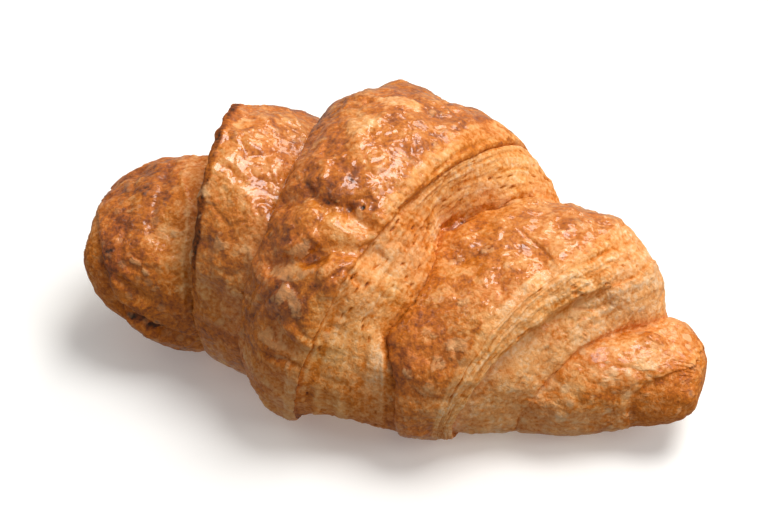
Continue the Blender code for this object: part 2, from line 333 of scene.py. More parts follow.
# Where the skin differs from the rest of its stretch
SPOTS = (
    # cap
    Spot(-0.080, -21, 0.0034, 4.0, bake=-0.25, glaze=-0.7, film=-0.6, flakes=1.2),
    Spot(-0.160, -3, 0.0018, 6.0, bake=-0.18, glaze=-0.6, height=0.0003),
    Spot(0.082, -7, 0.0016, 4.0, bake=0.14),
    Spot(-0.150, 21, 0.0022, 10.0, bake=0.14, film=-0.4),
    Spot(-0.060, 7, 0.0050, 15.0, bake=-0.06, film=0.2),
    # Painted shade: a small pit, dented and painted dark
    Spot(-0.059, 29, 0.0003, 0.9, bake=0.6, height=-0.0003),
    Spot(0.246, -47, 0.0009, 2.6, bake=0.6, glaze=-0.6),
    # lobes below it
    Spot(-0.090, 38, 0.0046, 5.5, bake=-0.14, glaze=-0.3, film=-1.0),
    Spot(-0.270, 41, 0.0040, 6.5, bake=0.08, film=0.2),
    Spot(-0.050, 50, 0.0026, 8.0, bake=0.04),
    Spot(-0.215, 62, 0.0050, 6.0, bake=0.02, film=-0.8),
    Spot(-0.230, 54, 0.0030, 2.5, bake=-0.1, flakes=0.9),
    Spot(-0.254, 76, 0.0034, 5.0, bake=-0.05, flakes=0.5),
    Spot(-0.325, 91, 0.0030, 6.0, flakes=0.4),
    # left band
    Spot(-0.533, -7, 0.0012, 4.0, bake=-0.2, glaze=-0.6, flakes=0.6),
    Spot(-0.433, 27, 0.0015, 7.0, bake=-0.08, film=-0.5),
    Spot(-0.404, -1, 0.0013, 5.0, bake=-0.05, film=-0.5),
    Spot(-0.510, 87, 0.0022, 7.0, flakes=0.5),
    Spot(-0.430, 58, 0.0020, 5.0, flakes=0.4),
    # right band
    Spot(0.503, -2, 0.0026, 7.0, bake=-0.08, film=0.2),
    Spot(0.410, 22, 0.0024, 7.0, bake=-0.10, film=0.2),
    Spot(0.392, 43, 0.0018, 5.0, bake=-0.10, flakes=0.3),
    Spot(0.150, 66, 0.0034, 12.0, bake=0.10, film=-0.2),
    Spot(0.298, 64, 0.0016, 5.0, bake=-0.06, flakes=0.9),
    Spot(0.252, 70, 0.0012, 4.0, flakes=0.8),
    Spot(0.332, 61, 0.0010, 3.5, flakes=0.8),
    Spot(0.228, 78, 0.0014, 4.0, bake=-0.04, flakes=0.7),
    # pale side, in front of the right band
    Spot(0.073, 84, 0.0026, 8.0, bake=-0.04, flakes=0.5),
    Spot(0.056, 72, 0.0014, 5.0, bake=-0.12, flakes=0.5, height=0.00015),
    Spot(0.012, 99, 0.0016, 5.0, flakes=0.8),
    # inner band
    Spot(0.625, 18, 0.0020, 3.0, bake=-0.12, height=0.0001),
    # right horn
    Spot(0.734, 57, 0.0018, 6.0, bake=-0.1, flakes=0.9),
    Spot(0.820, 43, 0.0013, 5.0, bake=-0.1, flakes=0.9),
    Spot(0.835, 10, 0.0020, 7.0, bake=0.22, glaze=0.5, height=0.0002),
    Spot(0.794, 24, 0.0014, 7.0, bake=0.05, glaze=0.5, film=0.4),
    Spot(0.955, 62, 0.0016, 22.0, bake=0.06, film=0.4),
    Spot(0.300, 12, 0.0070, 16.0, bake=0.05, glaze=0.2),
    # left horn
    Spot(-0.848, 18, 0.0014, 6.0, bake=-0.2, glaze=-0.4, flakes=0.7),
    Spot(-0.700, 30, 0.0042, 16.0, bake=-0.05, film=-0.3),
    Spot(-0.873, 64, 0.0020, 9.0, bake=0.18),
    Spot(-0.830, 12, 0.0014, 6.0, bake=0.16),
    Spot(-0.848, -14, 0.0018, 8.0, bake=0.14),
    Spot(-0.780, 96, 0.0014, 2.0, bake=0.4),
    Spot(-0.710, 100, 0.0016, 2.0, bake=0.35),
)

MARGINS = (
    Margin("left_horn", 0.60, 1.0, -60, 75, bake=-0.13, glaze=-0.5, film=-0.35),
    Margin("left_step", -0.1, 1.1, -75, -8, bake=-0.16),
    # Darker left rim of the left band: partly browning of its layered edge, partly painted shade under its
    # overhang
    Margin("left_band", 0.0, 0.10, -25, 78, bake=0.30, glaze=-1.0, film=-0.8, streaks=1.0, flakes=0.5),
    Margin("left_band", 0.80, 1.0, -60, 70, bake=0.03, film=-0.8),
    Margin("cap", 0.87, 1.0, -70, 34, bake=-0.20, glaze=-0.8, film=-0.8, streaks=0.9),
    Margin("cap", 0.0, 0.07, -90, 60, bake=0.10, film=-0.5),
    Margin("cap", -0.1, 1.1, 78, 126, bake=-0.10, glaze=-0.4, film=-0.2, flakes=0.15),
    Margin("cap", 0.80, 1.1, 56, 130, bake=-0.12, film=-0.4),
    Margin("cap_lip", -0.1, 1.1, 70, 130, bake=0.16),
    Margin("pale_side", -0.1, 0.16, 56, 130, bake=0.10),
    Margin("pale_side", -0.1, 1.1, 82, 130, bake=0.10),
    # Painted shade: the pale side darkens towards the fold into the right band
    Margin("pale_side", 0.80, 1.0, -40, 40, bake=0.12),
    Margin("pale_side", 0.80, 1.0, 45, 125, bake=0.20),
    # Darker front of the right band's left edge: partly browning, partly painted shade in the fold beside it
    Margin("right_band", 0.0, 0.10, 45, 125, bake=0.08, film=-0.4),
    Margin("right_band", 0.87, 1.0, 24, 120, bake=-0.20, glaze=-0.6, film=-0.5, streaks=0.6),
    Margin("right_band", 0.94, 1.0, -60, 24, bake=-0.08, glaze=-0.5, film=-0.5, streaks=0.6),
    # Painted light: the right horn's underside is made a little paler, lifting it out of shade
    Margin("right_horn", 0.0, 0.7, 62, 130, bake=-0.04),
    Margin("right_horn", 0.88, 1.0, -80, 120, bake=-0.05, glaze=-0.4, film=-0.5, streaks=1.0),
)

# Layers of dough that end round the right horn's tip
END_LINE = ((0.815, 87), (0.864, 49), (0.915, 29), (0.970, 24))
END_KNOB = (0.964, 61)
END_LINE_SIZES = (1.06, 0.88, 0.72, 0.54)
END_LINE_WIDTH = 0.00028
END_LINE_DEPTH = 0.00014


def end_line(size):
    """The line round the tip, drawn smaller or larger about the knob in its middle."""
    middle_place, middle_angle = END_KNOB
    points = tuple(
        (middle_place + (place - middle_place) * size, middle_angle + (angle - middle_angle) * size)
        for place, angle in END_LINE
    )
    return Crease(points, END_LINE_WIDTH, END_LINE_DEPTH)


# Lines on the skin alone
FINE_CREASES = (
    Crease(((-0.544, 34), (-0.502, 38), (-0.470, 41), (-0.425, 38)), 0.00035, 0.00016),
    Crease(((0.239, -34), (0.199, -21), (0.158, -10), (0.119, 2), (0.083, 14), (0.044, 25)), 0.0002, 0.0003),
    Crease(((0.380, 5), (0.410, 8), (0.466, 12), (0.507, 18)), 0.0003, 0.0002),
    Crease(((-0.278, 83), (-0.212, 82), (-0.159, 83)), 0.0004, 0.0005),
    Crease(((0.262, -15), (0.215, -7), (0.183, -1), (0.150, 8)), 0.0006, 0.0006),
    Crease(((0.590, 26), (0.640, 21), (0.690, 13)), 0.00025, 0.0003),
    Crease(((-0.735, -8), (-0.719, 2), (-0.654, 23), (-0.625, 63), (-0.621, 84)), 0.0004, -0.0003),
    Crease(((-0.900, -30), (-0.880, 0), (-0.850, 30), (-0.830, 60)), 0.0006, 0.0003),
    Crease(((-0.790, -20), (-0.775, 10), (-0.760, 40)), 0.0007, 0.0003),
    Crease(((-0.340, 72), (-0.290, 62), (-0.230, 56), (-0.190, 59)), 0.0004, 0.0004),
    Crease(((-0.160, 60), (-0.120, 56), (-0.060, 50), (-0.020, 52)), 0.0004, 0.0004),
    *(end_line(size) for size in END_LINE_SIZES),
)

# Waves round the body and depth of each unevenness of an edge, and the share that each edge has
RAGGED_WAVES = ((4.5, 0.0007), (11.0, 0.00035), (26.0, 0.00014))
RAGGED = {
    "left_end": 0.5, "left_step": 0.35, "left_fold": 0.45, "cap_edge": 0.3, "right_fold": 0.8,
    "flap_lip": 0.3, "flap_foot": 0.35, "horn_fold": 0.4, "right_end": 0.4,
}
RAGGED_SEED = 40
RAGGED_STEP = 3.7

# Noise: how each octave of a pattern differs from the one before it, and what brings it to about 1
OCTAVE_SCALE = 2.03
OCTAVE_SHIFT = 7.3
OCTAVE_WEIGHT = 0.5
WAVE_GAIN = 1.6
# Numbers that turn a lattice corner and a seed into a draw
AXIS_PRIMES = (73856093, 19349663, 83492791)
SEED_PRIME = 668265263
MIXING_PRIMES = ((15, 739982445), (12, 695872825))
LAST_MIXING = 15
LOW_BITS = 0xFFFFFFFF
# Further than any centre
FAR = 9.0
# Keeps the noise of one stretch apart from that of the next
STRETCH_OFFSET = 31.0

# Wrinkled film, folded into facets, and flatter where it lies tight
FACET_LEVEL = 0.5
FACET_TILT = 1.7
FACET_MEAN = 0.35
# Size and height of the film's folds, and a seed
FILM_FOLDS = ((0.0034, 0.00034, 70), (0.0016, 0.00017, 71), (0.0008, 0.00007, 72))
FILM_WARP = Pattern(0.0040, 60, 2)
FILM_WARP_REACH = 0.0011
FILM_PULL = (0.85, 1.0, 1.15)
LOOSE_FILM = Pattern(0.0055, 66)
LOOSE_CONTRAST = 1.1
TIGHT_FOLDS = 0.45
VALLEYS = 0.8
VALLEY_OFFSET = 5.5
VALLEY_SEED = 20
MOST_FILM = 1.3
FOLD_GAIN = 1.7
FOLD_LOSS_IN_PUFFS = 0.8
FILM_UNDER_FLAKES = 0.4

# Puffs take turns with the film, in patches
PATCHES = Pattern(0.0065, 155)
PATCH_LEVEL = 0.4
PATCH_CONTRAST = 1.4
PUFFS = Pattern(0.0014, 153)
SMALL_PUFFS = Pattern(0.0007, 154)
SMALL_PUFF_SHARE = 0.6
PUFF_WARP = Pattern(0.0016, 150)
PUFF_WARP_REACH = 0.0004
PUFF_MEAN = 0.45
LEAST_PUFFS = 0.2
PUFF_HEIGHT = 0.00020

# Lines of stretched dough: height, size across, turns round the body and seed
DOUGH_LINES = ((0.00013, 0.0011, 2.2, 80), (0.00007, 0.00045, 5.0, 81))
MOST_STREAKS = 2.0

# Torn pale flakes, small scales and pits
TEARS = Pattern(0.0024, 90, 4)
BROAD_TEARS = Pattern(0.0065, 95)
BROAD_TEAR_SHARE = 0.5
FLAKE_LEVEL = 0.85
FLAKE_DENSITY = 0.75
FLAKE_RIM = 0.08
FLAKE_HEIGHT = 0.00006
RIM_HEIGHT = 0.00010
FLAKE_COLOUR = 0.55
SPECK_SIZE = 0.0019
SPECK_SEED = 96
SPECK_RADIUS = 0.14
SPECK_GROWTH = 0.30
SPECK_RIM = 0.06
SPECK_HEIGHT = 0.00005
SPECK_COLOUR = 0.9
PIT_SIZE = 0.0010
PIT_TURNS = 9.0
PIT_SEED = 97
PIT_RADIUS = 0.24
PIT_RIM = 0.10
PIT_LEVEL = 0.35
PIT_DEPTH = 0.00032

# Broader unevenness of the crust
WAVES = Pattern(0.0060, 34)
WAVE_HEIGHT = 0.00025
BILLOWS = Pattern(0.0040, 35)
BILLOW_WARP = Pattern(0.0025, 160)
BILLOW_WARP_REACH = 0.3
BILLOW_MEAN = 0.3
BILLOW_HEIGHT = 0.00045
UNDERSIDE_RELIEF = 0.25
# How fast the relief comes back from the two ends
END_RISE = 2.0
UNDERSIDE_FLAKES = 0.3

# Edges of spots and margins, and steps of blur over the borders of stretches
BLUR_STEPS = 5
SOFT_BLUR_STEPS = 8
SPOT_CORE = 0.7
SPOT_TEAR = 0.35
SPOT_FADE = 0.5
MARGIN_TEAR = 0.03
MARGIN_FADE = 0.05
MARGIN_TURN = 16.0

# Egg wash, which lies on the top, and how much each thing browns or pales the skin; the darkening in pits
# and fine creases is painted shade
TOP_ARC = 50.0
TOP_FADE = 40.0
SIDE_GLAZE = 0.35
FLAKE_GLAZE = 0.2
POOLS = Pattern(0.0032, 140, 3)
POOL_LEVEL = 0.05
POOL_RIM = 0.3
POOL_BROWNING = 0.15
DRY_POOLS = 0.4
CLOUDS = Pattern(0.0080, 130, 3)
CLOUD_BROWNING = 0.09
PUFF_PALENESS = 0.24
PALENESS_LOSS_IN_GLAZE = 0.4
# Painted shade: how much darker the skin is in its pits
PIT_SHADE = 0.35
# For each metre of height or depth
FOLD_PALENESS = 260.0
STREAK_PALENESS = 900.0
# Painted shade: how much darker the skin is along its fine creases
CREASE_SHADE = 300.0

# Colours as a picture shows them, from pale dough to burnt crust
AMBER_CRUST = (
    (0.0, (250, 210, 162)),
    (0.25, (236, 171, 99)),
    (0.5, (208, 118, 20)),
    (0.75, (152, 78, 16)),
    (1.0, (58, 32, 12)),
)
RUDDY_CRUST = (
    (0.0, (248, 206, 164)),
    (0.25, (234, 162, 100)),
    (0.5, (206, 110, 22)),
    (0.75, (148, 71, 18)),
    (1.0, (54, 28, 14)),
)
PALE_FLAKE = (236, 190, 138)
FLAKE_COVER = 0.65
# Scale, detail, roughness and distortion
GRAIN_NOISE = (1700.0, 3.0, 0.6, 0.3)
MOTTLE_NOISE = (520.0, 5.0, 0.7, 0.8)
HUE_NOISE = (110.0, 3.0, 0.5, 0.0)
GRAIN_BROWNING = 0.75
MOTTLE_BROWNING = 0.45
HUE_RANGE = (-0.6, 1.6)
ROUGHNESS_RANGE = (0.62, 0.36)
SPECULAR_LEVEL = 0.26
COAT_WEIGHT = 0.8
COAT_ROUGHNESS = 0.10
BUMP_STRENGTH = 0.75
BUMP_DISTANCE = 0.0003

# Name, azimuth, elevation, distance, size, power and colour of each lamp
LAMPS = (
    ("key", 116.0, 71.0, 0.9, 0.45, 5.6, (1.0, 0.99, 0.97)),
    ("back", 166.0, 43.0, 0.9, 0.38, 2.4, (1.0, 0.94, 0.84)),
    ("left", -84.0, 49.0, 0.9, 0.20, 0.25, (1.0, 0.94, 0.84)),
    ("fill", 80.0, 36.0, 1.0, 0.50, 2.7, (1.0, 0.97, 0.92)),
)
# The world's light, which is a little duller from below
WORLD_STRENGTH = 0.35
WORLD_BELOW = (0.88, 0.88, 0.84, 1.0)
WORLD_ABOVE = (1.0, 0.99, 0.98, 1.0)
WORLD_ABOVE_HEIGHT = 0.6
FLOOR_SIZE = 2.0
FLOOR_GAP = 0.00005
FLOOR_COLOUR = (0.86, 0.86, 0.85, 1.0)
FLOOR_ROUGHNESS = 0.7
FLOOR_SPECULAR_LEVEL = 0.2
FLOOR_GLOW = (1.0, 0.995, 0.985, 1.0)
FLOOR_GLOW_STRENGTH = 0.16
CAMERA_AZIMUTH = 17.0
CAMERA_ELEVATION = 42.0
CAMERA_DISTANCE = 0.3751
CAMERA_TARGET = (-0.0031, 0.0005, 0.01637)
CAMERA_LENS = 120.0
CAMERA_SENSOR = 36.0
CAMERA_CLIP = 0.01


def smooth(value):
    """Soft step from 0 to 1."""
    value = np.clip(value, 0.0, 1.0)
    return value * value * (3.0 - 2.0 * value)


def at_least(least, share):
    """A share from 0 to 1 that starts at the least instead."""
    return least + (1.0 - least) * share


def ring_angles():
    turn = np.arange(RING_POINTS) / RING_POINTS * 2.0 - 1.0
    return 180.0 * (turn + CROWDING * np.sin(np.pi * turn) / np.pi)


def edge_place(edge, angles):
    """X along an edge. Its front and back places meet half-way, underneath."""
    swing = smooth((angles - edge.turn) / edge.spread + 0.5)
    seam = 0.5 * smooth((np.abs(angles) - SEAM_START) / SEAM_SPREAD)
    share = np.where(angles > 0.0, swing * (1.0 - seam), np.maximum(swing, seam))
    return LENGTH / 2.0 * (edge.back + (edge.front - edge.back) * share)


def bays(name, angles):
    """How far an edge leaves its line, along X."""
    total = np.zeros_like(angles)
    for bay in BAYS:
        if bay.edge == name:
            total = total + bay.depth * np.exp(-(((angles - bay.angle) / bay.arc) ** 2))
    return total


def end_taper(x):
    """Factor on the section, 1 along the body and 0 at both ends."""
    return np.maximum(1.0 - np.abs(2.0 * x / LENGTH) ** END_POWER, 0.0) ** (1.0 / END_POWER)


def taper_place(taper):
    return LENGTH / 2.0 * (1.0 - taper**END_POWER) ** (1.0 / END_POWER)


def underside(x):
    """Height of the lowest line of the body, which rises towards both ends."""
    rise = np.clip((np.abs(2.0 * x / LENGTH) - LIFT_START) / (1.0 - LIFT_START), 0.0, 1.0)
    return np.where(x < 0.0, LIFT_LEFT, LIFT_RIGHT) * rise**LIFT_POWER


def shoulder(share, width, power):
    """Rounded rise from 0 to 1 over the given width."""
    return (1.0 - (1.0 - np.clip(share / width, 0.0, 1.0)) ** power) ** (1.0 / power)


def section_radius(x, angles, top, half):
    low = underside(x)
    waist = low + WAIST * (top - low)
    cosine = np.cos(np.radians(angles))
    sine = np.sin(np.radians(angles))
    reach = np.where(cosine > 0.0, top - waist, BELLY * (waist - low))
    power = SECTION_POWER
    sum_of_powers = np.abs(cosine / reach) ** power + np.abs(sine / half) ** power
    return sum_of_powers ** (-1.0 / power), waist


def crease_distance(x, angles, points):
    """Distance on the skin from a line of (place, angle) points."""
    nearest = np.full_like(x, np.inf)
    path = [np.array((place * LENGTH / 2.0, angle * ARC_METRES)) for place, angle in points]
    for start, end in zip(path[:-1], path[1:]):
        line = end - start
        to_x = x - start[0]
        to_arc = angles * ARC_METRES - start[1]
        share = np.clip((to_x * line[0] + to_arc * line[1]) / (line @ line), 0.0, 1.0)
        nearest = np.minimum(nearest, np.hypot(to_x - share * line[0], to_arc - share * line[1]))
    return nearest


def lumps_and_creases(x, angles):
    height = np.zeros_like(x)
    for lump in LUMPS:
        along = (x - lump.place * LENGTH / 2.0) / lump.length
        around = (angles - lump.angle) / lump.arc
        height += lump.height * np.exp(-(along**2 + around**2))
    for crease in CREASES:
        nearest = crease_distance(x, angles, crease.points)
        height -= crease.depth * np.exp(-((nearest / crease.width) ** 2))
    return height


def swells(x, angles, radius):
    """The solid's uneven crust."""
    height = np.zeros_like(x)
    y = radius * np.sin(np.radians(angles))
    z = radius * np.cos(np.radians(angles))
    for size, amount, offset in SWELLS:
        places = np.stack([x / size + offset, y / size, z / size], axis=-1).reshape(-1, 3)
        values = [noise.noise(Vector(place)) for place in places.tolist()]
        height += amount * np.array(values).reshape(x.shape)
    return height


def corner_keys(cell, reach):
    """For each axis, the key of the lattice corners that lie 0 to reach - 1 steps on."""
    keys = []
    for axis, prime in enumerate(AXIS_PRIMES):
        whole = cell[..., axis].astype(np.int64)
        keys.append([((whole + step) * prime & LOW_BITS).astype(np.uint32) for step in range(reach)])
    return keys


def draw(key, seed):
    """Repeatable numbers from 0 to 1, one for each key."""
    mixed = key ^ np.uint32(seed * SEED_PRIME & LOW_BITS)
    for shift, prime in MIXING_PRIMES:
        mixed = (mixed ^ (mixed >> np.uint32(shift))) * np.uint32(prime)
    return (mixed ^ (mixed >> np.uint32(LAST_MIXING))).astype(np.float32) / np.float32(2**32)


def wave(points, seed):
    """Smooth noise from about -1 to 1, with features one unit wide."""
    cell = np.floor(points)
    part = (points - cell).astype(np.float32)
    fade = part**3 * (part * (part * 6.0 - 15.0) + 10.0)
    keys = corner_keys(cell, 2)
    total = 0.0
    for step in np.ndindex(2, 2, 2):
        key = keys[0][step[0]] ^ keys[1][step[1]] ^ keys[2][step[2]]
        value = 0.0
        share = 1.0
        for axis in range(3):
            slope = draw(key, seed * 3 + axis) * 2.0 - 1.0
            value = value + slope * (part[..., axis] - step[axis])
            share = share * (fade[..., axis] if step[axis] else 1.0 - fade[..., axis])
        total = total + value * share
    return WAVE_GAIN * total


def pattern_at(points, pattern, shift=0.0):
    """Sum of noises, each finer and weaker than the last."""
    places = points / pattern.size + shift
    total = 0.0
    for octave in range(pattern.octaves):
        finer = places * OCTAVE_SCALE**octave + OCTAVE_SHIFT * octave
        total = total + wave(finer, pattern.seed + octave) * OCTAVE_WEIGHT**octave
    return total


def warp_at(points, pattern):
    """A noise for each axis, to shift places by."""
    axes = [pattern_at(points, pattern._replace(seed=pattern.seed + axis)) for axis in range(3)]
    return np.stack(axes, axis=-1)


def centres(points, seed, count):
    """For each of the 27 cells around: the way from its centre, and some numbers that belong to it."""
    cell = np.floor(points)
    part = (points - cell).astype(np.float32)
    keys = corner_keys(cell - 1.0, 3)
    for step in np.ndindex(3, 3, 3):
        key = keys[0][step[0]] ^ keys[1][step[1]] ^ keys[2][step[2]]
        draws = [draw(key, seed * 7 + index) for index in range(3 + count)]
        away = [part[..., axis] - (step[axis] - 1.0) - draws[axis] for axis in range(3)]
        yield away, draws[3:]


def scattered(points, seed):
    """Distance to the nearest of scattered centres, and a number that belongs to that centre."""
    nearest = np.full(points.shape[:-1], FAR, dtype=np.float32)
    tone = np.zeros_like(nearest)
    for away, (own,) in centres(points, seed, 1):
        gap = np.sqrt(away[0] ** 2 + away[1] ** 2 + away[2] ** 2)
        tone = np.where(gap < nearest, own, tone)
        nearest = np.minimum(nearest, gap)
    return nearest, tone


def facets(points, seed):
    """Height of a film crumpled into tilted facets about one unit wide, from about -0.5 to 0.5."""
    height = np.full(points.shape[:-1], -FAR, dtype=np.float32)
    for away, (level, *slopes) in centres(points, seed, 4):
        tilt = sum((slope - 0.5) * way for slope, way in zip(slopes, away))
        fall = away[0] ** 2 + away[1] ** 2 + away[2] ** 2
        height = np.maximum(height, FACET_LEVEL * level + FACET_TILT * tilt - fall)
    return height - FACET_MEAN


def blur(values, steps):
    """Local mean over a square of the grid."""
    for _ in range(steps):
        values = (np.roll(values, 1, axis=1) + values * 2.0 + np.roll(values, -1, axis=1)) / 4.0
        padded = np.concatenate([values[:1], values, values[-1:]])
        values = (padded[:-2] + padded[1:-1] * 2.0 + padded[2:]) / 4.0
    return values


def ragged(edge, angles):
    """Uneven run of an edge, in metres along X."""
    seed = list(EDGES).index(edge)
    turn = np.radians(angles)
    total = 0.0
    for waves, amount in RAGGED_WAVES:
        level = 0.0 * turn + seed * RAGGED_STEP
        places = np.stack([np.cos(turn) * waves, np.sin(turn) * waves, level], axis=-1)
        total = total + amount * wave(places, RAGGED_SEED + seed)
    return total * RAGGED[edge]


def station_rings(angles):
    under = smooth((np.abs(angles) - UNDER_START) / UNDER_SPREAD)
    rings = []
    for index, station in enumerate(STATIONS):
        first = index + 1 < len(STATIONS) and STATIONS[index + 1].edge == station.edge
        second = index > 0 and STATIONS[index - 1].edge == station.edge
        order = KEPT_ORDER * (int(second) - int(first))
        x = edge_place(EDGES[station.edge], angles) + station.lean * (1.0 - under) + order * under
        x = x + bays(station.edge, angles) + ragged(station.edge, angles) * (1.0 - under)
        top = np.full_like(x, station.top * HEIGHT)
        half = WIDTH / 2.0 * np.where(angles > 0.0, station.front, station.back)
        if station.closes:
            closed = np.maximum(1.0 - smooth((angles - CUT_START) / CUT_SPREAD), under)
            before = rings[-1]
            x = x + (before[0] + KEPT_ORDER - x) * closed
            top = top + (before[1] - top) * closed
            half = half + (before[2] - half) * closed
        rings.append((x, top, half))
    return rings


def stretch_length(index, stations):
    """Length of a stretch over the shown side of the skin."""
    name = STRETCHES[index]
    if name in TIPS:
        return TIP_LENGTH
    left, right = stations[index - 1], stations[index]
    across = np.hypot(left[0] - right[0], left[1] - right[1])
    shown = np.abs(ring_angles()) < SHOWN_ARC
    span = SPANS.get(name, STRAIGHT)
    return float(across[shown].mean()) + 0.5 * max(span.crown, span.flank)


class Skin:
    """The fine skin: a grid of points, with the stretch, share of it, angle and looks of each."""

    def __init__(self):
        angles = ring_angles()
        stations = station_rings(angles)
        self.lengths = np.array([stretch_length(index, stations) for index in range(len(STRETCHES))])
        front = smooth((angles - FRONT_START) / FRONT_SPREAD)[None, :]
        columns = []
        for index, name in enumerate(STRETCHES):
            count = max(LEAST_RINGS, int(round(self.lengths[index] * LOOKS[name].fineness / RING_SPACING)))
            if name in TIPS:
                columns.append(self.tip_rings(index, count, stations))
                continue
            span = SPANS.get(name, STRAIGHT)
            share = (np.arange(count) / count)[:, None]
            left, right = stations[index - 1], stations[index]
            x, top, half = (a[None, :] * (1.0 - share) + b[None, :] * share for a, b in zip(left, right))
            swell = shoulder(share, *span.left) * shoulder(1.0 - share, *span.right)
            bulge = swell * (span.crown * (1.0 - front) + span.flank * front)
            columns.append((x, top, half, bulge, share + 0.0 * x, np.full_like(x, index)))
        x, top, half, bulge, self.share, stretch = (np.concatenate(parts) for parts in zip(*columns))
        self.stretch = stretch.astype(int)
        self.angles = angles + 0.0 * x
        radius, waist = section_radius(x, self.angles, top, half)
        radius = (radius + bulge) * end_taper(x)
        self.above = 1.0 - smooth((np.abs(self.angles) - RELIEF_START) / RELIEF_SPREAD)
        relief = lumps_and_creases(x, self.angles) + swells(x, self.angles, radius)
        radius = radius + relief * self.above
        y = -BEND * (2.0 * x / LENGTH) ** 2 - radius * np.sin(np.radians(self.angles))
        z = waist + radius * np.cos(np.radians(self.angles))
        self.points = np.stack([x, y, z], axis=-1)
        self.points[..., 1] += (LOW[1] + HIGH[1]) / 2.0 - (y.max() + y.min()) / 2.0
        for _ in range(LIP_ROUNDING):
            self.points[1:-1] = 0.25 * self.points[:-2] + 0.5 * self.points[1:-1] + 0.25 * self.points[2:]
        self.across = self.share * self.lengths[self.stretch]
        self.torn = pattern_at(self.points, TEARS)
        self.patchy = smooth(PATCH_LEVEL + PATCH_CONTRAST * pattern_at(self.points, PATCHES))

    def tip_rings(self, index, count, stations):
        """Rings from an end of the body to the nearest edge."""
        side = -1.0 if index == 0 else 1.0
        ring = stations[0] if index == 0 else stations[-1]
        share = (np.arange(count) + 1.0)[:, None] / (count + 1.0)
        if index > 0:
            share = np.concatenate([share, [[1.0]]])[::-1]
        taper = share * end_taper(ring[0])[None, :]
        x = side * taper_place(taper)
        x[share[:, 0] == 1.0] = ring[0]
        flat = 0.0 * taper
        return x, ring[1] + flat, ring[2] + flat, flat, share + flat, flat + index

    def look(self, name, steps=BLUR_STEPS):
        """A value of the stretches' looks, blended over their borders, with the spots that change it."""
        values = np.array([getattr(look, name) for look in LOOKS.values()])[self.stretch]
        return blur(values, steps) + self.spots(name)

    def spots(self, name):
        total = np.zeros_like(self.share)
        for spot in SPOTS:
            amount = getattr(spot, name, 0.0)
            if amount:
                total += amount * self.spot_mask(spot)
        for margin in MARGINS:
            amount = getattr(margin, name, 0.0)
            if amount:
                total += amount * self.margin_mask(margin)
        return total

    def spot_mask(self, spot):
        along = (self.points[..., 0] - spot.place * LENGTH / 2.0) / spot.length
        around = (self.angles - spot.angle) / spot.arc
        return 1.0 - smooth((np.hypot(along, around) - SPOT_CORE + SPOT_TEAR * self.torn) / SPOT_FADE)

    def margin_mask(self, margin):
        share = self.share + MARGIN_TEAR * self.torn
        along = smooth((share - margin.start) / MARGIN_FADE + 0.5)
        along = along * smooth((margin.end - share) / MARGIN_FADE + 0.5)
        around = smooth((self.angles - margin.first) / MARGIN_TURN + 0.5)
        around = around * smooth((margin.last - self.angles) / MARGIN_TURN + 0.5)
        return along * around * (self.stretch == STRETCHES.index(margin.stretch))

    def normals(self):
        along = np.gradient(self.points, axis=0)
        around = np.roll(self.points, -1, axis=1) - np.roll(self.points, 1, axis=1)
        normal = np.cross(around, along)
        return normal / (np.linalg.norm(normal, axis=-1, keepdims=True) + 1e-12)

    def along_rings(self, across, around):
        """Places for noise whose features run round the body: size in metres across, and turns around."""
        turn = np.radians(self.angles)
        lines = self.across / across + self.stretch * STRETCH_OFFSET
        return np.stack([lines, np.cos(turn) * around, np.sin(turn) * around], axis=-1)

    def wrinkles(self):
        """Thin glazed film, crumpled in patches and smooth between them."""
        place = (self.points + FILM_WARP_REACH * warp_at(self.points, FILM_WARP)) * np.array(FILM_PULL)
        loose = smooth(0.5 + LOOSE_CONTRAST * pattern_at(self.points, LOOSE_FILM))
        total = 0.0
        for size, amount, seed in FILM_FOLDS:
            ridges = facets(place / size, seed)
            valleys = facets(place / size + VALLEY_OFFSET, seed + VALLEY_SEED)
            total = total + amount * (ridges - VALLEYS * valleys) * at_least(TIGHT_FOLDS, loose)
        return total

    def puffs(self):
        """Small puffs of the crust with sharp valleys between them, in patches, from about -0.5 to 0.5."""
        place = self.points + PUFF_WARP_REACH * warp_at(self.points, PUFF_WARP)
        puffs = np.abs(pattern_at(place, PUFFS)) + SMALL_PUFF_SHARE * np.abs(pattern_at(place, SMALL_PUFFS))
        return (puffs - PUFF_MEAN) * at_least(LEAST_PUFFS, self.patchy)

    def billows(self):
        """Broad rounded swellings with sharp valleys between them."""
        warp = warp_at(self.points, BILLOW_WARP)
        return np.abs(pattern_at(self.points, BILLOWS, BILLOW_WARP_REACH * warp)) - BILLOW_MEAN

    def dough_lines(self):
        """Fine lines of stretched dough, which run round the body along the rings."""
        return sum(height * wave(self.along_rings(across, turns), seed)
                   for height, across, turns, seed in DOUGH_LINES)

    def flakes(self):
        torn = self.torn + BROAD_TEAR_SHARE * pattern_at(self.points, BROAD_TEARS)
        return smooth((torn - FLAKE_LEVEL + FLAKE_DENSITY * self.look("flakes")) / FLAKE_RIM)

    def specks(self):
        gap, tone = scattered(self.points / SPECK_SIZE, SPECK_SEED)
        speck = smooth((SPECK_RADIUS + SPECK_GROWTH * tone - gap) / SPECK_RIM)
        return speck * np.clip(self.look("specks"), 0.0, 1.0)

    def pits(self):
        gap, tone = scattered(self.along_rings(PIT_SIZE, PIT_TURNS), PIT_SEED)
        pit = smooth((PIT_RADIUS - gap) / PIT_RIM) * smooth((tone - PIT_LEVEL) / PIT_RIM)
        return pit * np.clip(self.look("pits"), 0.0, 1.0)

    def fine_creases(self):
        depth = np.zeros_like(self.share)
        for crease in FINE_CREASES:
            nearest = crease_distance(self.points[..., 0], self.angles, crease.points)
            depth = depth + crease.depth * np.exp(-((nearest / crease.width) ** 2))
        return depth

    def facing_up(self):
        return 1.0 - smooth((np.abs(self.angles) - TOP_ARC) / TOP_FADE)

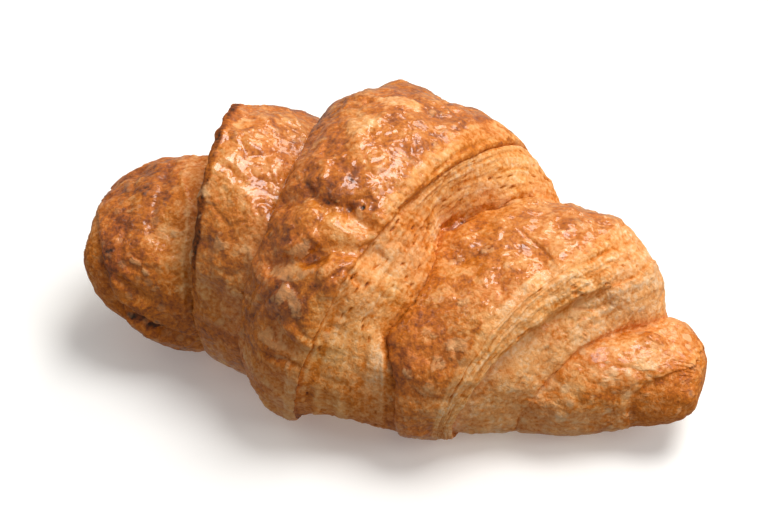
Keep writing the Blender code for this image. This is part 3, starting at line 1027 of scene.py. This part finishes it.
    def dress(self):
        """Adds the fine relief and works out the values that the material reads."""
        flake = self.flakes()
        rim = 4.0 * flake * (1.0 - flake)
        speck = self.specks()
        pit = self.pits()
        crease = self.fine_creases()
        puff = self.puffs()
        streak = self.dough_lines() * np.clip(self.look("streaks"), 0.0, MOST_STREAKS)
        film = np.clip(self.look("film"), 0.0, MOST_FILM)
        wrinkle = self.wrinkles() * film * at_least(FILM_UNDER_FLAKES, 1.0 - flake)
        wrinkle = wrinkle * (FOLD_GAIN - FOLD_LOSS_IN_PUFFS * self.patchy)
        relief = wrinkle + streak + self.spots("height") - crease - PIT_DEPTH * pit + PUFF_HEIGHT * puff
        relief = relief + FLAKE_HEIGHT * flake + RIM_HEIGHT * rim + SPECK_HEIGHT * speck
        relief = relief + WAVE_HEIGHT * pattern_at(self.points, WAVES)
        relief = relief + BILLOW_HEIGHT * self.billows()
        self.lift(relief)
        glaze = self.look("glaze", SOFT_BLUR_STEPS) * at_least(SIDE_GLAZE, self.facing_up())
        glaze = np.clip(glaze, 0.0, 1.0)
        bake = self.baked(glaze) - PUFF_PALENESS * puff * (1.0 - PALENESS_LOSS_IN_GLAZE * glaze)
        bake = bake - FOLD_PALENESS * wrinkle * glaze - STREAK_PALENESS * streak
        # Painted shade: darker in the pits and along the fine creases
        bake = bake + PIT_SHADE * pit + CREASE_SHADE * crease
        colour = np.maximum(flake * (FLAKE_COLOUR + puff), SPECK_COLOUR * speck)
        self.values = {
            # Besides browning, the bake value holds painted shade in pits, creases, folds and undercuts
            "bake": np.clip(bake, 0.0, 1.0),
            "glaze": np.clip(glaze * at_least(FLAKE_GLAZE, 1.0 - flake), 0.0, 1.0),
            "flake": colour * at_least(UNDERSIDE_FLAKES, self.above),
        }

    def lift(self, relief):
        """Moves the points out by the relief, less underneath and at the two ends, and keeps them up."""
        taper = np.clip(end_taper(self.points[..., 0]) * END_RISE, 0.0, 1.0)
        shown = at_least(UNDERSIDE_RELIEF, self.above) * taper
        self.points = self.points + self.normals() * (relief * shown)[..., None]
        self.points[..., 2] = np.maximum(self.points[..., 2], 0.0)

    def baked(self, glaze):
        """How brown the skin is before its small features change that."""
        pool = smooth((pattern_at(self.points, POOLS) - POOL_LEVEL) / POOL_RIM) - 0.5
        bake = self.look("bake", SOFT_BLUR_STEPS) + POOL_BROWNING * pool * at_least(DRY_POOLS, glaze)
        return bake + CLOUD_BROWNING * pattern_at(self.points, CLOUDS)


def closed_tube(rings, tips):
    """Vertices and faces of a grid of rings that is shut by a fan at each end."""
    length, count = rings.shape[:2]
    first = np.arange(length - 1)[:, None] * count + np.arange(count)[None, :]
    after = np.arange(length - 1)[:, None] * count + (np.arange(count)[None, :] + 1) % count
    quads = np.stack([first + count, after + count, after, first], axis=-1).reshape(-1, 4)
    faces = [tuple(quad) for quad in quads.tolist()]
    last = (length - 1) * count
    for index in range(count):
        following = (index + 1) % count
        faces.append((length * count, index, following))
        faces.append((length * count + 1, last + following, last + index))
    return np.concatenate([rings.reshape(-1, 3), tips]).tolist(), faces


def mark_cut(mesh, vertices):
    """Keeps the shading of the skin apart from the flat ends inside the body."""
    edges = np.empty(2 * len(mesh.edges), dtype=np.int32)
    mesh.edges.foreach_get("vertices", edges)
    cut = np.isin(edges.reshape(-1, 2), vertices).all(axis=1)
    layer = mesh.attributes.get("sharp_edge") or mesh.attributes.new("sharp_edge", "BOOLEAN", "EDGE")
    layer.data.foreach_set("value", cut)


def skin_piece(name, skin, start, end):
    """One band of dough as a closed piece, from one ring to another."""
    rings = skin.points[start:end + 1]
    length, count = rings.shape[:2]
    tips = np.array([rings[0].mean(axis=0), rings[-1].mean(axis=0)])
    cut = []
    if start == 0:
        tips[0][0] = LOW[0]
    else:
        cut.append(np.arange(count))
    if end == len(skin.points) - 1:
        tips[1][0] = HIGH[0]
    else:
        cut.append(np.arange(count) + (length - 1) * count)
    vertices, faces = closed_tube(rings, tips)
    mesh = bpy.data.meshes.new(name)
    mesh.from_pydata(vertices, [], faces)
    mesh.shade_smooth()
    mark_cut(mesh, np.concatenate(cut))
    for value_name, value in skin.values.items():
        layer = mesh.attributes.new(value_name, "FLOAT", "POINT")
        part = value[start:end + 1]
        part = np.concatenate([part.reshape(-1), [part[0].mean(), part[-1].mean()]])
        layer.data.foreach_set("value", part.astype(np.float32))
    piece = bpy.data.objects.new(name, mesh)
    bpy.context.scene.collection.objects.link(piece)
    print(name, "triangles", 2 * length * count)
    return piece


def skin_pieces():
    skin = Skin()
    skin.dress()
    start = 0
    pieces = []
    for name, last_stretch in PIECES.items():
        within = np.flatnonzero(skin.stretch[:, 0] <= STRETCHES.index(last_stretch))
        end = min(int(within[-1]) + 1, len(skin.points) - 1)
        pieces.append(skin_piece(name, skin, start, end))
        start = end
    return pieces


def srgb(red, green, blue):
    """Linear colour from the 0 to 255 values of a picture."""
    values = np.array((red, green, blue)) / 255.0
    linear = np.where(values <= 0.04045, values / 12.92, ((values + 0.055) / 1.055) ** 2.4)
    return (*linear.tolist(), 1.0)


class Nodes:
    """Short ways to add nodes to a material."""

    def __init__(self, material):
        material.use_nodes = True
        self.tree = material.node_tree
        self.shader = self.tree.nodes["Principled BSDF"]

    def add(self, kind, links=(), **values):
        made = self.tree.nodes.new(kind)
        for name, value in values.items():
            made.inputs[name].default_value = value
        for name, output in links:
            self.tree.links.new(output, made.inputs[name])
        return made

    def value(self, name):
        made = self.tree.nodes.new("ShaderNodeAttribute")
        made.attribute_name = name
        return made.outputs["Fac"]

    def math(self, operation, *terms):
        made = self.tree.nodes.new("ShaderNodeMath")
        made.operation = operation
        for socket, term in zip(made.inputs, terms):
            if isinstance(term, float):
                socket.default_value = term
            else:
                self.tree.links.new(term, socket)
        return made.outputs[0]

    def noise(self, scale, detail, roughness, distortion):
        place = self.tree.nodes.new("ShaderNodeTexCoord").outputs["Object"]
        made = self.add("ShaderNodeTexNoise", [("Vector", place)], Scale=scale, Detail=detail,
                        Roughness=roughness, Distortion=distortion)
        return made.outputs["Fac"]

    def ramp(self, factor, stops):
        made = self.add("ShaderNodeValToRGB", [("Fac", factor)])
        elements = made.color_ramp.elements
        while len(elements) < len(stops):
            elements.new(0.5)
        for element, (place, colour) in zip(elements, stops):
            element.position = place
            element.color = srgb(*colour)
        return made.outputs["Color"]

    def mix(self, factor, first, second):
        made = self.tree.nodes.new("ShaderNodeMix")
        made.data_type = "RGBA"
        self.tree.links.new(factor, made.inputs["Factor"])
        for name, colour in (("A", first), ("B", second)):
            if isinstance(colour, tuple):
                made.inputs[name].default_value = srgb(*colour)
            else:
                self.tree.links.new(colour, made.inputs[name])
        return made.outputs["Result"]

    def spread(self, factor, first, last):
        """A factor from 0 to 1 spread from the first value to the last."""
        made = self.add("ShaderNodeMapRange", [("Value", factor)], **{"To Min": first, "To Max": last})
        return made.outputs["Result"]

    def around_half(self, factor, amount, base):
        """Adds a factor, counted from its middle at 0.5, to a base."""
        return self.math("MULTIPLY_ADD", self.math("SUBTRACT", factor, 0.5), amount, base)


def crust_material():
    material = bpy.data.materials.new("crust")
    nodes = Nodes(material)
    inputs = nodes.shader.inputs
    grain = nodes.noise(*GRAIN_NOISE)
    mottle = nodes.noise(*MOTTLE_NOISE)
    hue = nodes.noise(*HUE_NOISE)
    bake = nodes.around_half(grain, GRAIN_BROWNING, nodes.value("bake"))
    bake = nodes.around_half(mottle, MOTTLE_BROWNING, bake)
    amber = nodes.ramp(bake, AMBER_CRUST)
    ruddy = nodes.ramp(bake, RUDDY_CRUST)
    crust = nodes.mix(nodes.spread(hue, *HUE_RANGE), amber, ruddy)
    crust = nodes.mix(nodes.math("MULTIPLY", nodes.value("flake"), FLAKE_COVER), crust, PALE_FLAKE)
    nodes.tree.links.new(crust, inputs["Base Color"])
    glaze = nodes.value("glaze")
    nodes.tree.links.new(nodes.spread(glaze, *ROUGHNESS_RANGE), inputs["Roughness"])
    nodes.tree.links.new(nodes.math("MULTIPLY", glaze, COAT_WEIGHT), inputs["Coat Weight"])
    inputs["Coat Roughness"].default_value = COAT_ROUGHNESS
    inputs["Specular IOR Level"].default_value = SPECULAR_LEVEL
    height = nodes.math("ADD", grain, mottle)
    bump = nodes.add("ShaderNodeBump", [("Height", height)], Strength=BUMP_STRENGTH, Distance=BUMP_DISTANCE)
    nodes.tree.links.new(bump.outputs["Normal"], inputs["Normal"])
    return material


def floor_object():
    """A plain pale floor that the camera sees, and that doesn't light the skin."""
    mesh = bpy.data.meshes.new("floor")
    corners = [(x * FLOOR_SIZE, y * FLOOR_SIZE, 0.0) for x, y in ((-1, -1), (1, -1), (1, 1), (-1, 1))]
    mesh.from_pydata(corners, [], [(0, 1, 2, 3)])
    floor = bpy.data.objects.new("floor", mesh)
    bpy.context.scene.collection.objects.link(floor)
    floor.location.z = LOW[2] - FLOOR_GAP
    material = bpy.data.materials.new("floor")
    inputs = Nodes(material).shader.inputs
    inputs["Base Color"].default_value = FLOOR_COLOUR
    inputs["Roughness"].default_value = FLOOR_ROUGHNESS
    inputs["Specular IOR Level"].default_value = FLOOR_SPECULAR_LEVEL
    inputs["Emission Color"].default_value = FLOOR_GLOW
    inputs["Emission Strength"].default_value = FLOOR_GLOW_STRENGTH
    floor.data.materials.append(material)
    floor.visible_diffuse = False
    floor.visible_glossy = False


def direction(azimuth, elevation):
    """Unit vector from the object towards a lamp or the camera, with azimuth 0 in front."""
    turn, rise = np.radians(azimuth), np.radians(elevation)
    return Vector((np.sin(turn) * np.cos(rise), -np.cos(turn) * np.cos(rise), np.sin(rise)))


def area_light(name, azimuth, elevation, distance, size, energy, colour):
    away = direction(azimuth, elevation)
    data = bpy.data.lights.new(name, "AREA")
    data.shape = "DISK"
    data.size = size
    data.energy = energy
    data.color = colour
    lamp = bpy.data.objects.new(name, data)
    lamp.location = away * distance
    lamp.rotation_euler = away.to_track_quat("Z", "Y").to_euler()
    bpy.context.scene.collection.objects.link(lamp)


def lighting():
    world = bpy.data.worlds.new("studio")
    world.use_nodes = True
    tree = world.node_tree
    background = tree.nodes["Background"]
    background.inputs["Strength"].default_value = WORLD_STRENGTH
    coordinates = tree.nodes.new("ShaderNodeTexCoord")
    split = tree.nodes.new("ShaderNodeSeparateXYZ")
    tree.links.new(coordinates.outputs["Generated"], split.inputs["Vector"])
    ramp = tree.nodes.new("ShaderNodeValToRGB")
    below, above = ramp.color_ramp.elements
    below.color = WORLD_BELOW
    above.position = WORLD_ABOVE_HEIGHT
    above.color = WORLD_ABOVE
    tree.links.new(split.outputs["Z"], ramp.inputs["Fac"])
    tree.links.new(ramp.outputs["Color"], background.inputs["Color"])
    bpy.context.scene.world = world
    for lamp in LAMPS:
        area_light(*lamp)


def camera_object():
    data = bpy.data.cameras.new("camera")
    data.lens = CAMERA_LENS
    data.sensor_width = CAMERA_SENSOR
    data.clip_start = CAMERA_CLIP
    camera = bpy.data.objects.new("camera", data)
    bpy.context.scene.collection.objects.link(camera)
    away = direction(CAMERA_AZIMUTH, CAMERA_ELEVATION)
    camera.location = Vector(CAMERA_TARGET) + away * CAMERA_DISTANCE
    camera.rotation_euler = away.to_track_quat("Z", "Y").to_euler()
    bpy.context.scene.camera = camera


def main():
    bpy.context.scene.view_settings.view_transform = "Standard"
    material = crust_material()
    for piece in skin_pieces():
        piece.data.materials.append(material)
        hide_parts("croissant")
        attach(piece, "root")
    floor_object()
    lighting()
    camera_object()


main()
